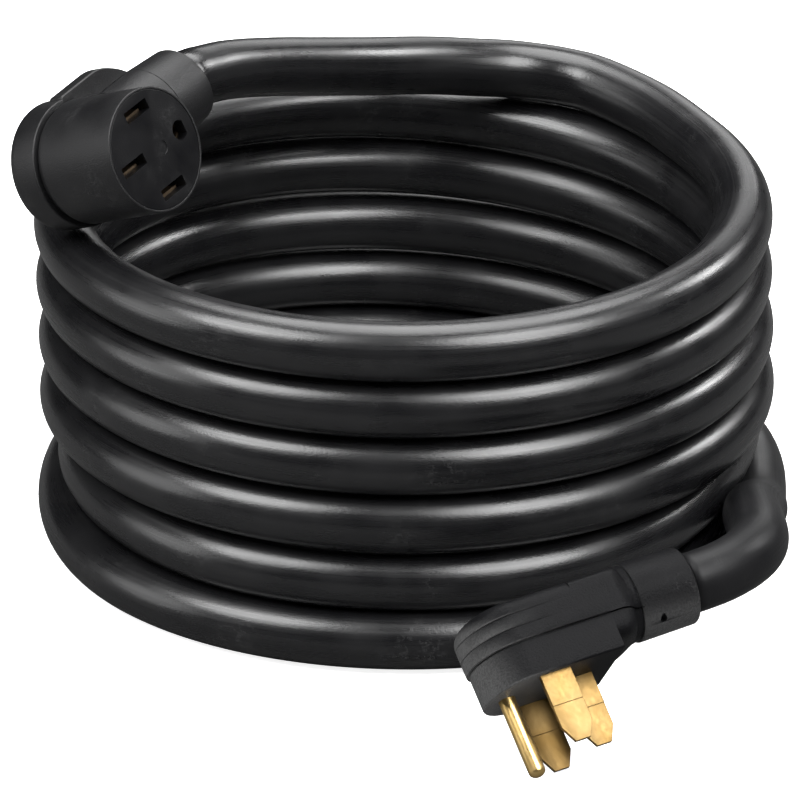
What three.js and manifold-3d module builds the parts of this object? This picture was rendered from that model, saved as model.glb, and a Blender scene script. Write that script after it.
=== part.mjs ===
// Shore power cord, 50 A, four wires: a right-angle plug with three blades and a round
// ground pin, a right-angle connector with the four matching slots, and the heavy cable
// between them, laid up as a round coil that stands on the floor.
// Millimetres, +Z up. The coil's axis is vertical and +Y points to its far side.

import * as THREE from 'three';
import { mergeVertices } from 'three/addons/utils/BufferGeometryUtils.js';
import Module from 'manifold-3d';

const wasm = await Module();
wasm.setup();

// ---- driving dimensions ----

const gap = 0.3; // between pieces that touch

const cable = { diameter: 24.6, sides: 12, stepLength: 22 };
const coil = { radius: 140.2, pitch: 25.1, turns: 6, segments: 60, arcSteps: 6 };
const wire = { diameter: 5.6, spread: 4.5, sides: 8, steps: 12 }; // one insulated conductor
const mouthLength = 11; // where a housing's hollow narrows to the cable's channel
const crimp = { wall: 1.1, length: 9, inset: 3.2 }; // barrels stand inside the outer blades

// the pin pattern that plug and connector share, seen from its centre
const pattern = { hotSpread: 35.7, neutralOffset: 14.1, groundOffset: 16.6 };
const blade = { width: 13.3, thickness: 2.6, reach: 30.8, chamfer: 3.4, coinLength: 15, coinDepth: 0.3 };
const slot = { lengthPlay: 0.9, widthPlay: 2.2 }; // a slot is this much larger than its blade
const pin = { diameter: 7, reach: 35.7, seamWidth: 0.6, seamDepth: 5, shoulder: 1.2 };
const tail = { width: 8, rise: 3.2 }; // of a blade or pin, above the plate that holds it

const plug = {
  noseReach: 26, noseDepth: 18, halfWidth: 22.5, overhang: 0.9,
  faceEnd: 30, faceStep: 3.6, parting: 13.7, height: 32,
  edgeRound: 6, edgeBreak: 0.8, wall: 3, floor: 4.5, plate: 6.7,
  cavityEnd: 27, mouth: 12, tailStart: 26, tailEnd: 46, cableDrop: 11, squareness: 9,
};
const groove = { count: 2, spacing: 5.7, depth: 0.8, width: 1.1, fadeStart: 2, fadeEnd: 14 };
const plugCollar = { radius: 16.5, taper: 0.5, length: 25.5, lip: 0.8 };
const vent = { diameter: 2.6, along: 9, turn: 64 }; // small hole through the plug's collar
const clamp = { wall: 1.5, length: 7 };

const connector = {
  sleeveRadius: 25.85, sleeveLength: 44, sleeveWall: 1.8, rootDepth: 0.8, rootLength: 2.4,
  faceThickness: 5, faceRecess: 0.4, carrierDepth: 26,
  coverThickness: 16, coverRadius: 26.8, coverWall: 3, backRound: 4.5,
  wingThickness: 9, wingHalfWidth: 27.4, wingStart: 5, shoulderEnd: 31, waist: 41,
  waistHalfWidth: 21.5, wingRound: 2.4,
  neckRadius: 18.4, neckDepth: 41.5, neckEnd: 44, mouth: 13.6,
};
const connectorCollar = { taper: 1.6, length: 21, lip: 0.8 };
const contact = { wall: 1.2, depth: 24, grip: 0.2, groundRadius: 5.1 };

// where the two ends lie: the plug in front of the coil with its blades down on the floor,
// the connector on top of the coil at its left; x and y count from each one's anchor
const plugPose = { x: -80.7, y: -165.1, heading: 25, rise: 7, roll: 135 };
const connectorPose = { x: 35, y: -36.6, heading: 53.5, rise: 11, roll: 22.7 };

// anchors: on the coil's outer wall where the plug's lead leaves it, and on its top turn
// under the connector and where the connector's lead comes down
const anchorTurn = { wall: -27.5, rest: 194, landing: 76.8 };

// the cable's route where it isn't coiled: to the plug from the wall anchor at floor level,
// and from the connector out of the rest anchor into the landing anchor at the coil's top
const plugRoute = [
  [9.4, -5.1, 38.6], [10.9, -21.6, 44.2], [11.5, -37.6, 49.5], [11.8, -54.6, 54.2],
  [11.7, -70.2, 57.8], [10.3, -82.7, 59.9], [6.1, -94.6, 61], [-0.7, -105.2, 61.3],
  [-9.7, -114, 60.7],
];
const connectorRoute = [
  [52.5, 51.1, 43], [43, 42.9, 41.3], [34.2, 35.2, 38.5], [26.3, 28.5, 34.8],
  [19.3, 22.8, 30.5], [13.4, 17.7, 25.6], [8.6, 13, 20.6], [5.4, 8.3, 15.6],
  [3.1, 3.4, 11], [-0.7, -5.1, 7.4], [-3.5, -15.1, 3.8],
];

// ---- finishes ----

const finish = (color, roughness, metalness = 0) =>
  new THREE.MeshStandardMaterial({ color, roughness, metalness });
const jacketBlack = finish(0x121212, 0.38);
const housingBlack = finish(0x1a1a1a, 0.55);
const insulatorBlack = finish(0x151515, 0.62);
const brass = finish(0xc9a050, 0.3, 1);
const copper = finish(0xb5693c, 0.35, 1);
const tinned = finish(0xb9b7ad, 0.4, 1);
const wireColors = { hotX: 0x1c1c1c, hotY: 0xa01c1c, neutral: 0xe8e6df, ground: 0x2a7a35 };

// ---- shape helpers ----

const radians = THREE.MathUtils.degToRad;
const smooth = THREE.MathUtils.smoothstep;
const mix = THREE.MathUtils.lerp;
const shaft = cable.diameter / 2;

function enclosedVolume(geometry) {
  const corner = [0, 1, 2].map(() => new THREE.Vector3());
  const { position } = geometry.attributes;
  const order = geometry.index.array;
  let sum = 0;
  for (let i = 0; i < order.length; i += 3) {
    corner.forEach((point, k) => point.fromBufferAttribute(position, order[i + k]));
    sum += corner[0].dot(corner[1].clone().cross(corner[2])) / 6;
  }
  return sum;
}

// one closed skin with shared corners and its faces pointing out
function sealed(geometry) {
  geometry.deleteAttribute('normal');
  geometry.deleteAttribute('uv');
  const merged = mergeVertices(geometry, 1e-4);
  const order = merged.index.array;
  const kept = [];
  for (let i = 0; i < order.length; i += 3) {
    const [a, b, c] = order.slice(i, i + 3);
    if (a !== b && b !== c && c !== a) kept.push(a, b, c);
  }
  merged.setIndex(kept);
  if (enclosedVolume(merged) < 0) merged.setIndex(kept.reverse());
  return merged;
}

function solid(geometry) {
  const { attributes, index } = sealed(geometry);
  return new wasm.Manifold(new wasm.Mesh({
    numProp: 3,
    vertProperties: Float32Array.from(attributes.position.array),
    triVerts: Uint32Array.from(index.array),
  }));
}

function skin(body) {
  const { numProp, vertProperties, triVerts } = body.getMesh();
  const geometry = new THREE.BufferGeometry();
  geometry.setAttribute('position', new THREE.Float32BufferAttribute(vertProperties, numProp));
  geometry.setIndex(Array.from(triVerts));
  return geometry;
}

const join = (...bodies) => bodies.reduce((whole, body) => whole.add(body));
const cut = (body, ...tools) => tools.reduce((rest, tool) => rest.subtract(tool), body);

function part(name, shape, material) {
  const geometry = shape.isBufferGeometry ? sealed(shape) : skin(shape);
  geometry.computeVertexNormals();
  const mesh = new THREE.Mesh(geometry, material);
  mesh.name = name;
  return mesh;
}

function box(x0, x1, y0, y1, z0, z1) {
  const geometry = new THREE.BoxGeometry(x1 - x0, y1 - y0, z1 - z0);
  return geometry.translate((x0 + x1) / 2, (y0 + y1) / 2, (z0 + z1) / 2);
}

// a profile of [radius, height] pairs turned about the Z axis
function turned(profile, segments = 40) {
  const points = profile.map(([radius, height]) => new THREE.Vector2(radius, height));
  return new THREE.LatheGeometry(points, segments).rotateX(Math.PI / 2);
}

const ring = (inner, outer, low, high) =>
  [[inner, low], [outer, low], [outer, high], [inner, high], [inner, low]];

// the same, turned about the X axis and lifted to a height
const turnedAlongX = (profile, height, segments) =>
  turned(profile, segments).rotateY(Math.PI / 2).translate(0, 0, height);

const rod = (radius, low, high) => [[0, low], [radius, low], [radius, high], [0, high]];

function extruded(outline, low, high) {
  const shape = new THREE.Shape(outline);
  const options = { depth: high - low, bevelEnabled: false, curveSegments: 12 };
  return new THREE.ExtrudeGeometry(shape, options).translate(0, 0, low);
}

// a skin over rings of points, closed by a flat fan at each end
function loft(rings) {
  const count = rings[0].length;
  const points = rings.flat();
  const faces = [];
  rings.slice(1).forEach((_, level) => {
    for (let i = 0; i < count; i += 1) {
      const [a, b] = [level * count + i, level * count + (i + 1) % count];
      faces.push(a, b, b + count, a, b + count, a + count);
    }
  });
  [rings[0], rings.at(-1)].forEach((edge, side) => {
    const middle = edge.reduce((sum, p) => sum.add(p), new THREE.Vector3()).divideScalar(count);
    const first = side ? (rings.length - 1) * count : 0;
    points.push(middle);
    for (let i = 0; i < count; i += 1) {
      const pair = [first + i, first + (i + 1) % count];
      faces.push(points.length - 1, ...(side ? pair : pair.reverse()));
    }
  });
  const geometry = new THREE.BufferGeometry().setFromPoints(points);
  geometry.setIndex(faces);
  return geometry;
}

function circle(radius, sides) {
  const shape = new THREE.Shape();
  for (let i = 0; i < sides; i += 1) {
    const angle = (2 * Math.PI * (i + 0.5)) / sides;
    shape[i ? 'lineTo' : 'moveTo'](radius * Math.cos(angle), radius * Math.sin(angle));
  }
  return shape;
}

function tube(points, radius, sides, steps) {
  const path = new THREE.CatmullRomCurve3(points.map((p) => new THREE.Vector3(...p)), false, 'chordal');
  return new THREE.ExtrudeGeometry(circle(radius, sides), { steps, extrudePath: path });
}

// a rectangle about (x, y)
function slotOutline(x, y, length, width) {
  return [[-1, -1], [1, -1], [1, 1], [-1, 1]].map(
    ([i, j]) => new THREE.Vector2(x + (i * length) / 2, y + (j * width) / 2),
  );
}

// ---- places in the pin pattern ----

const hotY = pattern.hotSpread / 2;
const poles = {
  hotX: { x: 0, y: -hotY },
  hotY: { x: 0, y: hotY },
  neutral: { x: 0, y: 0 },
  ground: { x: 0, y: 0 },
};

// ---- plug: X runs from the nose to the cable, Z up from the mating face ----

poles.neutral.x = pattern.neutralOffset;
poles.ground.x = -pattern.groundOffset;

// the housing's outline at one height, drawn in from its full size by an inset
function noseRing(height, half, inset, end) {
  const outline = [];
  const reach = plug.noseReach + (half - plug.halfWidth);
  const arcSteps = 22;
  for (let i = 0; i <= arcSteps; i += 1) {
    const angle = Math.PI * (0.5 + i / arcSteps);
    const x = plug.noseDepth - reach + plug.noseDepth * Math.cos(angle);
    const drawn = typeof inset === 'function' ? inset(x) : inset;
    outline.push(new THREE.Vector3(
      plug.noseDepth - reach + (plug.noseDepth - drawn) * Math.cos(angle),
      (half - drawn) * Math.sin(angle), height,
    ));
  }
  const drawn = typeof inset === 'function' ? inset(end) : inset;
  outline.push(new THREE.Vector3(end, -(half - drawn), height));
  outline.push(new THREE.Vector3(end, half - drawn, height));
  return outline;
}

const coverHalf = plug.halfWidth + plug.overhang;
const cableHeight = plug.height - plug.cableDrop;
const coverLow = plug.parting + gap / 2;
const baseHigh = plug.parting - gap / 2;

function grooveRings() {
  const drawnIn = (x) => groove.depth * (1 - smooth(x, groove.fadeStart, groove.fadeEnd));
  const rings = [];
  for (let i = 1; i <= groove.count; i += 1) {
    const height = plug.parting + i * groove.spacing;
    [[-0.5, 0], [0, drawnIn], [0.5, 0]].forEach(([shift, inset]) => {
      rings.push(noseRing(height + shift * groove.width, coverHalf, inset, plug.faceEnd));
    });
  }
  return rings;
}

function roundedTopRings(steps = 4) {
  const rings = [];
  for (let i = 0; i <= steps; i += 1) {
    const angle = (Math.PI / 2) * (i / steps);
    const inset = plug.edgeRound * (1 - Math.cos(angle));
    const height = plug.height - plug.edgeRound * (1 - Math.sin(angle));
    rings.push(noseRing(height, coverHalf, inset, plug.faceEnd));
  }
  return rings;
}

const noseCover = loft([
  noseRing(coverLow, coverHalf, 0, plug.faceEnd), ...grooveRings(), ...roundedTopRings(),
]);
const noseBase = loft([
  noseRing(0, plug.halfWidth, plug.edgeBreak, plug.faceEnd),
  noseRing(plug.edgeBreak, plug.halfWidth, 0, plug.faceEnd),
  noseRing(baseHigh, plug.halfWidth, 0, plug.faceEnd),
]);

// the tail runs from the housing's square section to the collar's round one
function tailRing(x, sides = 32) {
  const t = smooth(x, plug.tailStart, plug.tailEnd);
  const power = mix(plug.squareness, 2, Math.min(1, 1.5 * t));
  const side = mix(coverHalf, plugCollar.radius, t);
  const up = mix(plug.height - cableHeight, plugCollar.radius, t);
  const down = mix(cableHeight - plug.faceStep, plugCollar.radius, t);
  return Array.from({ length: sides }, (_, i) => {
    const angle = (2 * Math.PI * i) / sides;
    const [c, s] = [Math.cos(angle), Math.sin(angle)];
    const tall = s > 0 ? up : down;
    const reach = (Math.abs(c / side) ** power + Math.abs(s / tall) ** power) ** (-1 / power);
    return new THREE.Vector3(x, reach * c, cableHeight + reach * s);
  });
}

function tailBody(steps = 8) {
  const start = plug.tailStart - 14;
  const stations = [start];
  for (let i = 0; i <= steps; i += 1) {
    stations.push(mix(plug.tailStart, plug.tailEnd, i / steps));
  }
  return solid(loft(stations.map((x) => tailRing(x))));
}

const far = 200;
const above = (height) => solid(box(-far, far, -far, far, height, far));
const below = (height) => solid(box(-far, far, -far, far, -far, height));

// the hollow that the wires lie in, and the channel to the collar
const cavityTop = plug.height - plug.wall;
const channelRadius = Math.hypot(wire.spread, wire.spread) + wire.diameter / 2 + 2 * gap;

function plugCavity(grow = 0) {
  const half = plug.halfWidth - plug.wall + grow;
  const outline = noseRing(0, half, 0, plug.cavityEnd + grow)
    .map((p) => new THREE.Vector2(p.x, p.y));
  return outline;
}

const plugChannel = join(
  solid(turnedAlongX(
    rod(plug.mouth, plug.cavityEnd - 9, plug.cavityEnd + mouthLength), cableHeight,
  )),
  solid(turnedAlongX(rod(channelRadius, plug.cavityEnd, plug.tailEnd + 1), cableHeight)),
);
const plugHollow = join(
  solid(extruded(plugCavity(), plug.floor, cavityTop)),
  cut(plugChannel, above(cavityTop)),
);

const bladeHole = ({ x, y }, low, high) => solid(
  extruded(slotOutline(x, y, blade.width + 2 * gap, blade.thickness + 2 * gap), low, high),
);
const pinHole = (radius, low, high) =>
  solid(turned(rod(radius + gap, low, high), 24).translate(poles.ground.x, 0, 0));

function plateHoles(low, high) {
  return [
    ...[poles.hotX, poles.hotY, poles.neutral].map((pole) => bladeHole(pole, low, high)),
    pinHole(pin.diameter / 2, low, high),
  ];
}

const plateLow = plug.floor + gap;
const plateHigh = plateLow + plug.plate;

function plugBase() {
  const outer = join(solid(noseBase), cut(tailBody(), above(baseHigh)));
  return cut(outer, plugHollow, ...plateHoles(-1, plug.floor + 1));
}

function plugCover() {
  const outer = join(solid(noseCover), cut(tailBody(), below(coverLow)));
  return cut(outer, plugHollow);
}

function plugPlate() {
  const body = solid(extruded(plugCavity(-gap), plateLow, plateHigh));
  return cut(body, ...plateHoles(plateLow - 1, plateHigh + 1));
}

// a flat blade with chamfered corners at its tip and a coined lower half
function bladeBody({ x, y }) {
  const half = blade.width / 2;
  const low = -blade.reach;
  const shoulder = plateHigh + gap;
  const outline = [
    [-half + blade.chamfer, low], [half - blade.chamfer, low], [half, low + 2 * blade.chamfer],
    [half, shoulder], [tail.width / 2, shoulder], [tail.width / 2, shoulder + tail.rise],
    [-tail.width / 2, shoulder + tail.rise], [-tail.width / 2, shoulder], [-half, shoulder],
    [-half, low + 2 * blade.chamfer],
  ].map(([across, height]) => new THREE.Vector2(across, height));
  const flat = extruded(outline, -blade.thickness / 2, blade.thickness / 2);
  const body = solid(flat.rotateX(Math.PI / 2));
  const top = low + blade.coinLength;
  const deep = blade.thickness / 2 - blade.coinDepth;
  const coins = [1, -1].map((side) => {
    const near = Math.min(side * deep, side * far);
    const away = Math.max(side * deep, side * far);
    return solid(box(-half - 1, half + 1, near, away, low - 1, top));
  });
  return cut(body, ...coins).translate([x, y, 0]);
}

// a round pin with a domed tip, a seam where it is folded and a shoulder in the housing
function pinBody() {
  const radius = pin.diameter / 2;
  const profile = [[0, -pin.reach]];
  for (let i = 1; i <= 4; i += 1) {
    const angle = (Math.PI / 2) * (i / 4);
    profile.push([radius * Math.sin(angle), -pin.reach + radius * (1 - Math.cos(angle))]);
  }
  const shoulder = plateHigh + gap;
  profile.push(
    [radius, shoulder], [radius + pin.shoulder, shoulder],
    [radius + pin.shoulder, shoulder + tail.rise], [0, shoulder + tail.rise],
  );
  const seam = box(-radius - 1, 0, -pin.seamWidth / 2, pin.seamWidth / 2,
    -pin.reach - 1, -pin.reach + pin.seamDepth);
  return cut(solid(turned(profile, 24)), solid(seam)).translate([poles.ground.x, 0, 0]);
}

// barrels that hold the wires, lying along X on top of the tails
const wireRadius = wire.diameter / 2;
const barrel = { inner: wireRadius + gap, outer: wireRadius + gap + crimp.wall };
const crimpHeight = plateHigh + 2 * gap + tail.rise + barrel.outer;

const crimpY = hotY - crimp.inset;

function crimpBody({ x, y }, height) {
  const profile = ring(barrel.inner, barrel.outer, x - crimp.length / 2, x + crimp.length / 2);
  return turnedAlongX(profile, height, 16).translate(0, Math.sign(y) * crimpY, 0);
}

// a wire starts straight, through its barrel, bends to its quarter of the cable and ends
// straight; each bend is a share of the way along, across and up
function wirePath(x, y, height, end, bends) {
  const barrelPoints = [-0.5, 0, 0.5, 0.8].map((share) => [x + share * crimp.length, y, height]);
  const from = barrelPoints.at(-1);
  const bent = bends.map((shares) => shares.map((share, axis) => mix(from[axis], end[axis], share)));
  return [...barrelPoints, ...bent, end];
}

const spread = wire.spread;
const plugWireEnd = plug.tailEnd + gap;

// a wire starts straight, through its barrel
function plugWires() {
  const side = (sign) => wirePath(
    0, sign * crimpY, crimpHeight, [plugWireEnd, sign * spread, cableHeight + spread],
    [[0.276, 0.163, 0.167], [0.481, 0.655, 0.883], [0.685, 0.911, 1]],
  );
  const lower = (x, sign, bends) => wirePath(
    x, 0, crimpHeight, [plugWireEnd, sign * spread, cableHeight - spread], bends,
  );
  return {
    hotX: side(-1),
    hotY: side(1),
    neutral: lower(poles.neutral.x, -1, [[0.268, 0.578, 0.5], [0.628, 1, 1]]),
    ground: lower(poles.ground.x, 1, [
      [0.088, 1.2, 0.167], [0.24, 1.622, 0.2], [0.474, 1.622, 0.4], [0.671, 1.244, 1], [0.851, 1, 1],
    ]),
  };
}

// a sleeve along X round the cable's end, a little slimmer towards the cable
function collarBody(from, length, radius, taper, lip, height, pocket) {
  const bore = shaft + gap;
  const to = from + length;
  const profile = [
    [bore, from + pocket.length], [pocket.radius, from + pocket.length], [pocket.radius, from],
    [radius, from], [radius - taper, to - lip], [radius - taper - lip, to], [bore, to],
    [bore, from + pocket.length],
  ];
  return solid(turnedAlongX(profile, height, 40));
}

const clampPocket = { length: clamp.length + 2 * gap, radius: shaft + 2 * gap + clamp.wall };
const plugCollarStart = plug.tailEnd + gap;
const plugExit = plugCollarStart + plugCollar.length;

function plugCollarBody() {
  const body = collarBody(
    plugCollarStart, plugCollar.length, plugCollar.radius, plugCollar.taper, plugCollar.lip,
    cableHeight, clampPocket,
  );
  const bit = turned(rod(vent.diameter / 2, 0, plugCollar.radius + 2), 12)
    .rotateX(-radians(vent.turn) + Math.PI)
    .translate(plugCollarStart + clampPocket.length + vent.along - 2, 0, cableHeight);
  return cut(body, solid(bit));
}

const clampBody = (start, height) => turnedAlongX(
  ring(shaft + gap, shaft + gap + clamp.wall, start + gap, start + gap + clamp.length), height, 32,
);

// the last stretch of the cable's jacket, inside the collar
const jacketEnd = (from, to, height) => turnedAlongX(rod(shaft, from + 2 * gap, to), height, 24);

function plugParts() {
  const wires = plugWires();
  const names = { hotX: 'hot_x', hotY: 'hot_y', neutral: 'neutral', ground: 'ground' };
  const group = new THREE.Group();
  group.add(
    part('plug_base', plugBase(), housingBlack),
    part('plug_cover', plugCover(), housingBlack),
    part('plug_collar', plugCollarBody(), housingBlack),
    part('plug_pin_plate', plugPlate(), insulatorBlack),
    part('plug_cord_clamp', clampBody(plugCollarStart, cableHeight), tinned),
    part('plug_jacket_end', jacketEnd(plugWireEnd, plugExit, cableHeight), jacketBlack),
    part('plug_blade_hot_x', bladeBody(poles.hotX), brass),
    part('plug_blade_hot_y', bladeBody(poles.hotY), brass),
    part('plug_blade_neutral', bladeBody(poles.neutral), brass),
    part('plug_pin_ground', pinBody(), brass),
  );
  Object.entries(names).forEach(([key, name]) => {
    const sleeve = crimpBody(poles[key], crimpHeight);
    const color = finish(wireColors[key], 0.5);
    group.add(part(`plug_crimp_${name}`, sleeve, tinned));
    group.add(part(`plug_wire_${name}`, tube(wires[key], wireRadius, wire.sides, wire.steps), color));
  });
  return group;
}

// ---- connector: X runs to the cable, Z out of the mating face ----

const sockets = {
  hotX: { x: 0, y: -hotY },
  hotY: { x: 0, y: hotY },
  neutral: { x: -pattern.neutralOffset, y: 0 },
  ground: { x: pattern.groundOffset, y: 0 },
};
const seam = -connector.sleeveLength;
const coverBack = seam - connector.coverThickness;

// the rear cover's round head, its back edge rounded
function coverHead() {
  const { coverRadius, backRound } = connector;
  const profile = [[0, seam - gap / 2], [0, coverBack]];
  const steps = 5;
  for (let i = 0; i <= steps; i += 1) {
    const angle = (Math.PI / 2) * (i / steps);
    profile.push([
      coverRadius - backRound * (1 - Math.sin(angle)), coverBack + backRound * (1 - Math.cos(angle)),
    ]);
  }
  profile.push([coverRadius, seam - gap / 2]);
  profile.push(profile[0]);
  return solid(turned(profile, 56));
}

// the shallower wings that carry the head's sides down to the neck
function wingRing(height, inset) {
  const half = [
    [connector.wingStart + inset, connector.wingHalfWidth], [connector.shoulderEnd, connector.wingHalfWidth],
    [connector.waist, connector.waistHalfWidth], [connector.neckEnd, connector.neckRadius],
  ].map(([x, y]) => [x, y - inset]);
  const mirrored = [...half].reverse().map(([x, y]) => [x, -y]);
  return [...half, ...mirrored].map(([x, y]) => new THREE.Vector3(x, y, height));
}

function wings() {
  const back = seam - connector.wingThickness;
  const round = connector.wingRound;
  const steps = [1, 0.4, 0.1, 0];
  const rings = steps.map((share, i) => wingRing(back + (round * i) / (steps.length - 1), share * round));
  return solid(loft([...rings, wingRing(seam - gap / 2, 0)]));
}

const neckRod = (radius, from, to) =>
  solid(turnedAlongX(rod(radius, from, to), -connector.neckDepth, 40));

const rearFloor = coverBack + connector.coverWall;
const boreRadius = connector.sleeveRadius - connector.sleeveWall;
const carrierHigh = -connector.faceRecess - connector.faceThickness - gap;
const carrierLow = carrierHigh - connector.carrierDepth;

const rearHollow = join(
  solid(turned(rod(connector.coverRadius - connector.coverWall, rearFloor, seam + 1), 40)),
  neckRod(connector.mouth, 10, boreRadius + mouthLength),
  neckRod(channelRadius, 10, connector.neckEnd + 1),
);

function rearCover() {
  const neck = cut(neckRod(connector.neckRadius, 20, connector.neckEnd), above(seam - gap / 2));
  const outer = join(coverHead(), wings(), neck);
  return cut(outer, rearHollow);
}

function frontShell() {
  const { sleeveRadius, rootDepth, rootLength } = connector;
  const root = solid(turned(rod(sleeveRadius - rootDepth, seam + gap / 2, seam + rootLength + 1), 56));
  const sleeve = join(root, solid(turned(rod(sleeveRadius, seam + rootLength, 0), 56)));
  const neck = cut(neckRod(connector.neckRadius, 12, connector.neckEnd), below(seam + gap / 2));
  const bore = solid(turned(rod(boreRadius, seam - 1, 1), 56));
  return cut(join(sleeve, neck), bore, rearHollow);
}

const socketHole = ({ x, y }, low, high) => solid(
  extruded(slotOutline(x, y, blade.width + slot.lengthPlay, blade.thickness + slot.widthPlay), low, high),
);

// a hole with one flat side, for the round pin
function groundHole(radius, low, high) {
  const arc = new THREE.Shape();
  arc.absarc(0, 0, radius, radians(42), radians(318), false);
  const outline = arc.getPoints(16).map((p) => new THREE.Vector2(p.x + sockets.ground.x, p.y));
  return solid(extruded(outline, low, high));
}

const faceHigh = -connector.faceRecess;
const faceLow = faceHigh - connector.faceThickness;
const slots = (low, high) => [sockets.hotX, sockets.hotY, sockets.neutral]
  .map((socket) => socketHole(socket, low, high));

function faceBody() {
  const disc = solid(turned(rod(boreRadius - gap, faceLow, faceHigh), 56));
  const hole = groundHole(pin.diameter / 2 + 2 * gap, faceLow - 1, 1);
  return cut(disc, ...slots(faceLow - 1, 1), hole);
}

// the block behind the face, with a pocket for each contact
function carrierBody() {
  const block = solid(turned(rod(boreRadius - gap, carrierLow, carrierHigh), 48));
  const room = contact.wall + 2 * gap;
  const pockets = [sockets.hotX, sockets.hotY, sockets.neutral].map(({ x, y }) => solid(extruded(
    slotOutline(x, y, blade.width + 2 * gap, blade.thickness + 2 * room + 2 * contact.grip),
    carrierLow - 1, carrierHigh + 1,
  )));
  const well = solid(turned(rod(contact.groundRadius + gap, carrierLow - 1, carrierHigh + 1), 24)
    .translate(sockets.ground.x, 0, 0));
  return cut(block, ...pockets, well);
}

// a strip bent into a U that grips a blade from both sides
function bladeContact({ x, y }) {
  const inner = blade.thickness / 2 + contact.grip;
  const outer = inner + contact.wall;
  const high = carrierHigh - gap;
  const low = high - contact.depth;
  const outline = [
    [-outer, low], [outer, low], [outer, high], [inner, high], [inner, low + contact.wall],
    [-inner, low + contact.wall], [-inner, high], [-outer, high],
  ].map(([across, height]) => new THREE.Vector2(across, height));
  const strip = extruded(outline, -blade.width / 2, blade.width / 2);
  return strip.rotateX(Math.PI / 2).rotateZ(Math.PI / 2).translate(x, y, 0);
}

function groundContact() {
  const inner = pin.diameter / 2 + contact.grip;
  const high = carrierHigh - gap;
  const low = high - contact.depth;
  const cup = [
    [0, low], [contact.groundRadius, low], [contact.groundRadius, high], [inner, high],
    [inner, low + contact.wall], [0, low + contact.wall],
  ];
  return turned(cup, 24).translate(sockets.ground.x, 0, 0);
}

const socketCrimpHeight = carrierLow - 2 * gap - barrel.outer;
const connectorWireEnd = connector.neckEnd + gap;
const connectorExit = connectorWireEnd + connectorCollar.length;

function connectorWires() {
  const mid = -connector.neckDepth;
  const side = (sign) => wirePath(
    0, sign * crimpY, socketCrimpHeight, [connectorWireEnd, sign * spread, mid + spread],
    [[0.237, 0.291, 0.8], [0.453, 0.714, 0.8], [0.588, 0.813, 1], [0.749, 0.97, 1]],
  );
  const lower = (x, sign, bends) => wirePath(
    x, 0, socketCrimpHeight, [connectorWireEnd, sign * spread, mid - spread], bends,
  );
  return {
    hotX: side(-1),
    hotY: side(1),
    neutral: lower(sockets.neutral.x, -1, [[0.115, 0.533, 0.832], [0.369, 1, 1], [0.721, 1, 1]]),
    ground: lower(sockets.ground.x, 1, [[0.205, 0.089, 0.337], [0.498, 0.578, 0.905], [0.79, 1, 1]]),
  };
}

function connectorParts() {
  const wires = connectorWires();
  const names = { hotX: 'hot_x', hotY: 'hot_y', neutral: 'neutral', ground: 'ground' };
  const collar = collarBody(
    connectorWireEnd, connectorCollar.length, connector.neckRadius, connectorCollar.taper,
    connectorCollar.lip, -connector.neckDepth, clampPocket,
  );
  const group = new THREE.Group();
  group.add(
    part('connector_front_shell', frontShell(), housingBlack),
    part('connector_rear_cover', rearCover(), housingBlack),
    part('connector_face', faceBody(), insulatorBlack),
    part('connector_contact_carrier', carrierBody(), insulatorBlack),
    part('connector_collar', collar, housingBlack),
    part('connector_cord_clamp', clampBody(connectorWireEnd, -connector.neckDepth), tinned),
    part('connector_jacket_end', jacketEnd(connectorWireEnd, connectorExit, -connector.neckDepth), jacketBlack),
    part('connector_contact_hot_x', bladeContact(sockets.hotX), copper),
    part('connector_contact_hot_y', bladeContact(sockets.hotY), copper),
    part('connector_contact_neutral', bladeContact(sockets.neutral), copper),
    part('connector_contact_ground', groundContact(), copper),
  );
  Object.entries(names).forEach(([key, name]) => {
    const sleeve = crimpBody(sockets[key], socketCrimpHeight);
    const color = finish(wireColors[key], 0.5);
    group.add(part(`connector_crimp_${name}`, sleeve, tinned));
    group.add(part(`connector_wire_${name}`, tube(wires[key], wireRadius, wire.sides, wire.steps), color));
  });
  return group;
}

// ---- cable ----

// the coil's outer shape: its turns stacked between a round top and a round bottom
function coilBody() {
  const low = shaft;
  const high = shaft + coil.pitch * (coil.turns - 1);
  const profile = [];
  [[low, Math.PI], [high, 0]].forEach(([middle, first]) => {
    for (let i = 0; i <= coil.arcSteps; i += 1) {
      const angle = first + (Math.PI * i) / coil.arcSteps;
      profile.push([coil.radius + shaft * Math.cos(angle), middle + shaft * Math.sin(angle)]);
    }
  });
  profile.push(profile[0]);
  return turned(profile, coil.segments);
}

const coilTop = shaft + coil.pitch * (coil.turns - 1) + shaft;

// a point at an angle round the coil's axis
function aroundAxis(turn, radius, height) {
  const angle = radians(turn);
  return [radius * Math.cos(angle), radius * Math.sin(angle), height];
}

const wallAnchor = aroundAxis(anchorTurn.wall, coil.radius + shaft, 0);
const restAnchor = aroundAxis(anchorTurn.rest, coil.radius, coilTop);
const landingAnchor = aroundAxis(anchorTurn.landing, coil.radius, coilTop);

const offset = (anchor, step) => anchor.map((value, axis) => value + step[axis]);
const plugLeadRoute = plugRoute.map((step) => offset(wallAnchor, step)).reverse();
const connectorLeadRoute = connectorRoute.map((step, i) => {
  const share = i / (connectorRoute.length - 1);
  return offset(restAnchor.map((value, axis) => mix(value, landingAnchor[axis], share)), step);
});

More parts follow.
